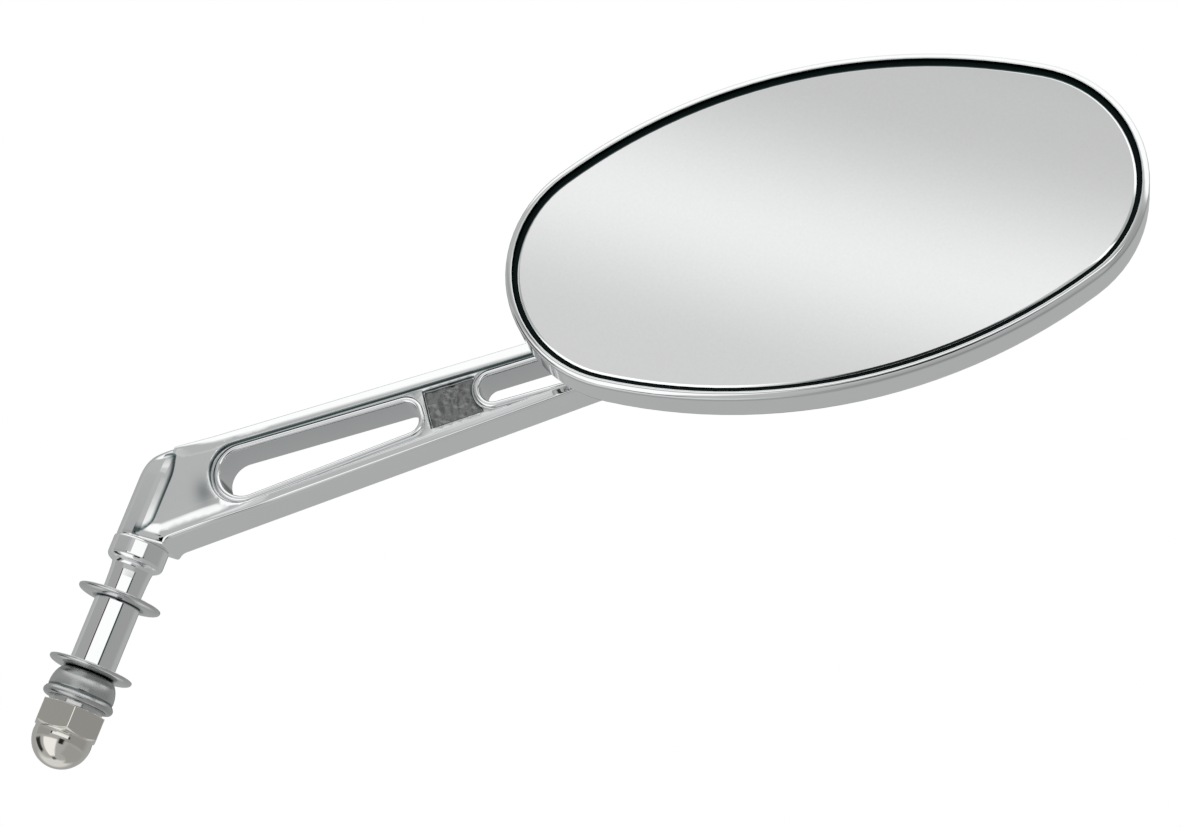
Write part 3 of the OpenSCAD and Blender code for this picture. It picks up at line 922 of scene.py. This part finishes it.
class MIRROR_OT_stack(bpy.types.Operator):
    """Stud, washers, spacer sleeve, bell spacer and domed nut."""

    bl_idname = "mirror.stack"
    bl_label = "Mounting stack"

    def execute(self, context):
        chrome, zinc = MATERIALS["chrome"], MATERIALS["zinc"]

        def turned(name, profile, material, body, slot, node, closed=True):
            b = Build()
            b.lathe(profile, lambda *point: point, 128, closed)
            piece(name, b, material, body, slot, node)

        core = STUD_R - 0.55
        # A point's third number is painted shade; here it darkens where the stud leaves the upper washer.
        stud = [
            (0, -31.25), (core - 0.4, -31.25), (core, -30.8), (core, -14.9), (STUD_R, -SLEEVE_L),
            (STUD_R, WASHER_T, 0.6), (4.0, 1.3, 0.6), (4.0, 1.6), (4.03, 3.0), (4.1, 5.0), (4.2, 6.6),
            (4.32, 7.6), (4.5, 8.05), (4.8, 8.2),
        ]
        stud += arc(5.9 - 1.3, 8.2 + 1.3, 1.3, -88, 0, 8)
        stud += [(5.9, 12.7), (5.82, 12.95), (5.7, FOOT_Z), (STUD_R, FOOT_Z)]
        stud += [(STUD_R, 24.6), (3.5, 25.0), (0, 25.0)]
        turned("stud", stud, chrome, "arm_body", "chrome", "mounting_stud", False)
        for name, top, body, node in (
            ("upper_flat_washer", WASHER_T, "arm_body", "upper_washer"),
            ("lower_flat_washer", -SLEEVE_L, "clamp_hardware", "lower_washer"),
        ):
            low = top - WASHER_T
            # Painted shade on the inner underside, against the sleeve.
            ring = [(4.35, top), (4.35, low, 0.9), (5.3, low, 0.75), (5.7, low)]
            turns = [math.radians(a) for a in range(0, 91, 10)]
            ring += [(6.6 + 2.14 * math.sin(t), low + 0.85 * (1 - math.cos(t))) for t in turns]
            ring += rounded([(WASHER_R, top - 0.35), (WASHER_R, top, 0.3), (8.2, top)], 4)[1:]
            turned(name, ring, zinc, body, "chrome", node)
        # Painted shade at both ends of the sleeve, against the washers.
        tube = [
            (4.17, 0), (4.17, -SLEEVE_L), (4.6, -SLEEVE_L, 0.7), (4.72, -14.25, 0.7), (SLEEVE_R, -14.1, 0.7),
            (SLEEVE_R, -13.75), (SLEEVE_R, -0.4), (SLEEVE_R, -0.12, 0.7), (4.73, -0.03, 0.7), (4.65, 0, 0.7),
        ]
        turned("sleeve", tube, chrome, "arm_body", "chrome", "spacer_sleeve")
        bell = [(4.35, -15.5), (4.35, -22.2), (6.5, -22.2)]
        bell += arc(6.5, -21.3, 0.9, -90, 35, 8)[1:]
        # Painted shade in the bell's groove.
        bell += [(7.1, -20.55), (6.88, -20.35, 0.6), (6.78, -20.2, 0.8), (6.8, -20.0, 0.5), (6.88, -19.85)]
        for k in range(15):
            t = math.pi / 2 * k / 14
            bell.append((SLEEVE_R + 2.1 * math.cos(t) ** 1.2, -19.75 + 4.25 * math.sin(t)))
        turned("bell", bell, MATERIALS["dull_zinc"], "clamp_hardware", "bright_nickel", "bell_spacer")
        domed_nut(MATERIALS["nickel"])
        return {"FINISHED"}


def domed_nut(material):
    """Six-sided nut with chamfered corners and a dome."""
    b = Build()
    flat, top, low, tip, dome = 6.35, -23.1, -28.5, -35.75, 6.1
    corners = [(x, y, 0.35) for x, y in circle(flat / math.cos(math.pi / 6), 6)]
    shape = densify(rounded(corners, 5, True), 0.7)
    c, s = math.cos(NUT_TURN), math.sin(NUT_TURN)
    shape = [(c * x - s * y, s * x + c * y) for x, y in shape]

    def ring(height, pull):
        return [(x, y, height + pull * (math.hypot(x, y) - flat)) for x, y in shape]

    def disc(radius, height):
        return [(x / math.hypot(x, y) * radius, y / math.hypot(x, y) * radius, height) for x, y in shape]

    loops = [
        disc(STUD_R + 0.05, top - 0.2), disc(4.6, top), disc(flat - 0.25, top), disc(flat, top - 0.06),
        ring(top - 0.08, -0.2), ring(top - 0.2, -0.22), ring(low + 0.2, 0.62), ring(low + 0.1, 0.6),
        disc(flat, low + 0.06), disc(dome + 0.1, low), disc(dome - 0.08, low - 0.12),
        disc(dome - 0.05, low - 0.4),
    ]
    steps = 19
    for k in range(steps):
        t = math.pi / 2 * k / steps
        loops.append(disc(dome * math.cos(t), tip + dome - dome * math.sin(t)))
    b.tube(loops + [[(0, 0, tip)]])
    bore = b.tube([disc(STUD_R + 0.05, top - 0.2), disc(STUD_R + 0.05, -31.8)])
    b.cap(bore[-1])
    piece("domed_nut", b, material, "clamp_hardware", "bright_nickel", "cap_nut")


def thread_tree(material):
    """Helical ridge: radius, pitch, length and height above a start point, as a mesh."""
    tree, given, result = effect(
        "screw_thread",
        [(name, "Float") for name in ("Radius", "Pitch", "Turns", "Ridge")] + [("Start", "Vector")],
        [("Geometry", "Geometry")], "GeometryNodeTree",
    )
    tree.is_modifier = True
    spiral = add_node(tree, "GeometryNodeCurveSpiral", Resolution=48)
    profile = add_node(tree, "GeometryNodeCurvePrimitiveCircle", Resolution=6)
    sweep = add_node(tree, "GeometryNodeCurveToMesh", Fill_Caps=True)
    place = add_node(tree, "GeometryNodeTransform")
    paint = add_node(tree, "GeometryNodeSetMaterial", Material=material)
    wire(
        tree,
        (given["Turns"], spiral.inputs["Rotations"]),
        (given["Radius"], spiral.inputs["Start Radius"]),
        (given["Radius"], spiral.inputs["End Radius"]),
        (sum_node(tree, "MULTIPLY", given["Turns"], given["Pitch"]), spiral.inputs["Height"]),
        (given["Ridge"], profile.inputs["Radius"]),
        (spiral.outputs["Curve"], sweep.inputs["Curve"]),
        (profile.outputs["Curve"], sweep.inputs["Profile Curve"]),
        (sweep.outputs["Mesh"], place.inputs["Geometry"]),
        (given["Start"], place.inputs["Translation"]),
        (place.outputs["Geometry"], paint.inputs["Geometry"]),
        (paint.outputs["Geometry"], result["Geometry"]),
    )
    return tree


class MIRROR_OT_threads(bpy.types.Operator):
    """Rolled thread of the stud, run from its node tree and kept as a plain mesh."""

    bl_idname = "mirror.threads"
    bl_label = "Threads"

    def execute(self, context):
        values = {
            "Radius": (STUD_R - 0.5) * MM, "Pitch": context.scene.mirror_sizes.thread_pitch,
            "Turns": 15.0, "Ridge": 0.46 * MM, "Start": (0, 0, -30.9 * MM),
        }
        holder = add_object("thread_maker", bpy.data.meshes.new("thread_maker"))
        modifier = holder.modifiers.new("thread", "NODES")
        modifier.node_group = thread_tree(MATERIALS["chrome"])
        for item in modifier.node_group.interface.items_tree:
            if item.in_out == "INPUT":
                modifier[item.identifier] = values[item.name]
        context.view_layer.update()
        seen = holder.evaluated_get(context.evaluated_depsgraph_get())
        mesh = bpy.data.meshes.new_from_object(seen)
        bpy.data.objects.remove(holder)
        if not len(mesh.polygons):
            raise RuntimeError("the stud's thread came out empty")
        mesh.polygons.foreach_set("use_smooth", [True] * len(mesh.polygons))
        obj = add_object("stud_thread", mesh)
        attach(obj, "arm_body")
        return {"FINISHED"}


class MIRROR_OT_inner(bpy.types.Operator):
    """Finishes of the small pieces that keep the frame's own shape."""

    bl_idname = "mirror.inner"
    bl_label = "Small pieces"

    def execute(self, context):
        for name, nodes in (
            ("zinc", ["lock_washer"]),
            ("steel", ["ball_stud", "pivot_washer", "pivot_nut", "retainer_plate", "retainer_screws"]),
            ("nylon", ["ball_liner", "pressure_cup"]),
            ("spring", ["disc_springs"]),
            ("paint", ["backing_plate"]),
            ("foam", ["foam_pad"]),
        ):
            for node in nodes:
                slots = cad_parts[node].data.materials
                slots.clear()
                slots.append(MATERIALS[name])
        return {"FINISHED"}


def area_light(name, place, aim, size, watts):
    """A soft white lamp that no reflection shows."""
    data = bpy.data.lights.new(name, "AREA")
    data.shape = "RECTANGLE"
    data.size, data.size_y = size
    data.energy = watts
    lamp = add_object(name, data)
    lamp.location = place
    lamp.rotation_euler = (Vector(aim) - Vector(place)).to_track_quat("-Z", "Y").to_euler()
    lamp.visible_glossy = False


class MIRROR_OT_stage(bpy.types.Operator):
    """Camera, white surroundings, pale floor, soft lamps and the tent that the plate reflects."""

    bl_idname = "mirror.stage"
    bl_label = "Stage"

    def execute(self, context):
        scene = context.scene
        scene.view_settings.view_transform = "Standard"
        lens = bpy.data.cameras.new("camera")
        lens.lens, lens.sensor_width = 87.5, 36
        lens.clip_start, lens.clip_end = 0.01, 50
        camera = add_object("camera", lens)
        right = (0.92746, 0.16916, 0.33346)
        up = (-0.26282, -0.33943, 0.90317)
        away = (0.26596, -0.92530, -0.27035)
        turn = Matrix((right, up, away)).transposed().to_quaternion()
        camera.matrix_world = Matrix.LocRotScale(Vector((0.2343, -0.5371, -0.0910)), turn, None)
        scene.camera = camera
        surroundings(scene)
        stage_floor()
        stage_tent()
        middle = (0.08, 0, 0.06)
        area_light("key", (-0.5, -1.1, 0.9), middle, (0.8, 0.5), 3.5)
        area_light("fill", (1.1, -0.5, 0.3), middle, (0.6, 0.9), 1.5)
        return {"FINISHED"}


def surroundings(scene):
    """White where the camera, plate and glass look; plain light elsewhere."""
    world = bpy.data.worlds.new("studio")
    world.use_nodes = True
    scene.world = world
    tree = world.node_tree
    tree.nodes.clear()
    path = tree.nodes.new("ShaderNodeLightPath").outputs
    seen = sum_node(tree, "MAXIMUM", path["Is Camera Ray"], path["Is Glossy Ray"])
    seen = sum_node(tree, "MAXIMUM", seen, path["Is Transmission Ray"])
    light = add_node(tree, "ShaderNodeBackground", Color=(1, 1, 1, 1), Strength=0.95)
    white = add_node(tree, "ShaderNodeBackground", Color=(1, 1, 1, 1))
    out = add_node(tree, "ShaderNodeOutputWorld")
    wire(tree, (mix_shaders(tree, seen, light.outputs[0], white.outputs[0]), out.inputs["Surface"]))


def stage_floor():
    """Pale floor that fades to white far off, and that a camera below it looks through."""
    f = Finish("pale_floor")
    set_inputs(f.shader, Base_Color=(0.9, 0.9, 0.9, 1), Roughness=0.9)
    away = f.nodes.new("ShaderNodeVectorMath")
    away.operation = "LENGTH"
    far = add_node(f.tree, "ShaderNodeMapRange", From_Min=0.5, From_Max=1.4)
    wire(f.tree, (f.coords, away.inputs[0]), (away.outputs["Value"], far.inputs["Value"]))
    path = f.nodes.new("ShaderNodeLightPath").outputs
    seen = sum_node(f.tree, "MULTIPLY", far.outputs["Result"], path["Is Camera Ray"])
    white = f.nodes.new("ShaderNodeEmission")
    above = mix_shaders(f.tree, seen, f.shader.outputs[0], white.outputs[0])
    below = f.nodes.new("ShaderNodeNewGeometry").outputs["Backfacing"]
    clear = f.nodes.new("ShaderNodeBsdfTransparent")
    both = mix_shaders(f.tree, below, above, clear.outputs[0])
    wire(f.tree, (both, f.nodes["Material Output"].inputs["Surface"]))
    mesh = bpy.data.meshes.new("floor")
    size, z = 6.0, -0.26
    corners = [(-size, -size, z), (size, -size, z), (size, size, z), (-size, size, z)]
    mesh.from_pydata(corners, [], [(0, 1, 2, 3)])
    mesh.materials.append(f.material)
    obj = add_object("floor", mesh)
    obj.visible_glossy = False


def stage_tent():
    """A round tent of grey cloth with bright panels and dark seams, seen only in reflections."""
    rings, turns, radius = 280, 320, 2.4
    verts, glow = [], []
    for i in range(rings + 1):
        a = math.radians(-89 + 178 * i / rings)
        wide, high = radius * math.cos(a), radius * math.sin(a)
        for j in range(turns):
            t = 2 * math.pi * j / turns - math.pi
            verts.append((wide * math.cos(t), wide * math.sin(t), high))
            glow.append(cloth(math.degrees(t), math.degrees(a)))
    faces = []
    for low in range(0, rings * turns, turns):
        for j in range(turns):
            k = (j + 1) % turns
            faces.append((low + j, low + k, low + turns + k, low + turns + j))
    mesh = bpy.data.meshes.new("tent")
    mesh.from_pydata(verts, [], faces)
    colour = mesh.attributes.new("glow", "FLOAT_VECTOR", "POINT")
    for item, value in zip(colour.data, glow):
        item.vector = value
    mesh.materials.append(tent_cloth())
    obj = add_object("tent", mesh)
    for kind in ("camera", "diffuse", "transmission", "shadow", "volume_scatter"):
        setattr(obj, "visible_" + kind, False)


def within(x, low, high, soft):
    """1 inside a range, 0 outside it, with soft ends."""
    return smooth((x - low) / soft + 0.5) * (1 - smooth((x - high) / soft + 0.5))


def cloth(turn, rise):
    """Brightness of the tent in a direction, from its compass turn and its rise in degrees."""
    front = 1 - smooth((abs((turn + 80 + 180) % 360 - 180) - 95) / 40)
    value = Vector((0.505, 0.51, 0.51)) * (1 - 0.12 * (1 - front))

    def paint(mask, red, green=None, blue=None):
        for k, level in enumerate((red, red if green is None else green, red if blue is None else blue)):
            value[k] += (level - value[k]) * mask

    def patch(turns, rises, *colour):
        paint(within(turn, *turns) * within(rise, *rises), *colour)

    # Grey wall on the right, and the band whose slow change the glass shows
    patch((-56, 40, 30), (-10, 26, 8), 0.36)
    patch((-75, -56, 12), (11, 26, 3), 0.4)
    band = rise - 22.4 - 0.059 * (turn + 102.3)
    fade = 0.31 * smooth(band / 3.9) if band > 0 else 0.23 * smooth(-band / 3.2)
    patch((-116, -88, 4), (15.5, 28, 2), 0.88 - fade)
    # Ceiling in front and behind
    paint(front * smooth((rise - 28) / 6), 1.12)
    paint((1 - front) * smooth((rise - 34) / 14), 0.95)
    # Bright cloth low on the left, and what the housing's back sees
    patch((-142, -84, 8), (-78, -14, 5), 1.12)
    patch((-200, -120, 8), (-8, 11, 5), 0.39)
    paint((1 - front) * (1 - smooth((rise + 50) / 20)), 0.85)
    patch((90, 130, 8), (3, 33, 6), 0.16)
    # White panel of the stud and sleeve, with its tinted edges
    height = (2.5, 9.9, 0.8)
    patch((-98, -46, 2.0), (9.0, 11.4, 0.8), 1.12)
    patch((-112, -46, 2.0), height, 1.12)
    patch((-118, -112, 2.0), height, 0.065, 0.02, 0.03)
    patch((-46, -39, 2.0), height, 0.01, 0.05, 0.04)
    # Dark spots below, for the dome and the rolled edges
    patch((-79, -54, 5), (-26, -6, 4), 0.02)
    patch((-200, -158, 10), (-52, -14, 8), 0.035)
    paint(1 - smooth((rise + 86) / 5), 0.06)
    patch((-40, 60, 20), (-60, -14, 10), 0.42)
    return tuple(value)


def tent_cloth():
    """Glowing cloth whose brightness is kept with the tent's points."""
    material = bpy.data.materials.new("tent_cloth")
    material.use_nodes = True
    tree = material.node_tree
    tree.nodes.clear()
    colour = tree.nodes.new("ShaderNodeAttribute")
    colour.attribute_name = "glow"
    light = tree.nodes.new("ShaderNodeEmission")
    out = tree.nodes.new("ShaderNodeOutputMaterial")
    wire(tree, (colour.outputs["Color"], light.inputs["Color"]), (light.outputs[0], out.inputs["Surface"]))
    return material


class MIRROR_PT_pieces(bpy.types.Panel):
    """Lists the pieces of the mirror and their sizes and colours."""

    bl_label = "Mirror"
    bl_idname = "MIRROR_PT_pieces"
    bl_space_type = "VIEW_3D"
    bl_region_type = "UI"
    bl_category = "Mirror"

    def draw(self, context):
        for kind in OPERATORS:
            self.layout.operator(kind.bl_idname)
        for name in ("edge_round", "bead_h", "arris", "thread_pitch"):
            self.layout.prop(context.scene.mirror_sizes, name)
        for name in ("chrome", "nickel", "chrome_dull"):
            self.layout.prop(context.scene.mirror_look, name)


OPERATORS = (
    MIRROR_OT_stage, MIRROR_OT_arm, MIRROR_OT_housing, MIRROR_OT_glass,
    MIRROR_OT_stack, MIRROR_OT_threads, MIRROR_OT_inner,
)
CLASSES = (MirrorLook, MirrorSizes, MIRROR_PT_pieces) + OPERATORS


def register():
    for kind in CLASSES:
        bpy.utils.register_class(kind)
    bpy.types.Scene.mirror_look = bpy.props.PointerProperty(type=MirrorLook)
    bpy.types.Scene.mirror_sizes = bpy.props.PointerProperty(type=MirrorSizes)


def unregister():
    del bpy.types.Scene.mirror_sizes
    del bpy.types.Scene.mirror_look
    for kind in reversed(CLASSES):
        bpy.utils.unregister_class(kind)


def main():
    register()
    materials()
    for name in ("stage", "arm", "housing", "glass", "stack", "threads", "inner"):
        getattr(bpy.ops.mirror, name)()


if __name__ == "__main__":
    main()
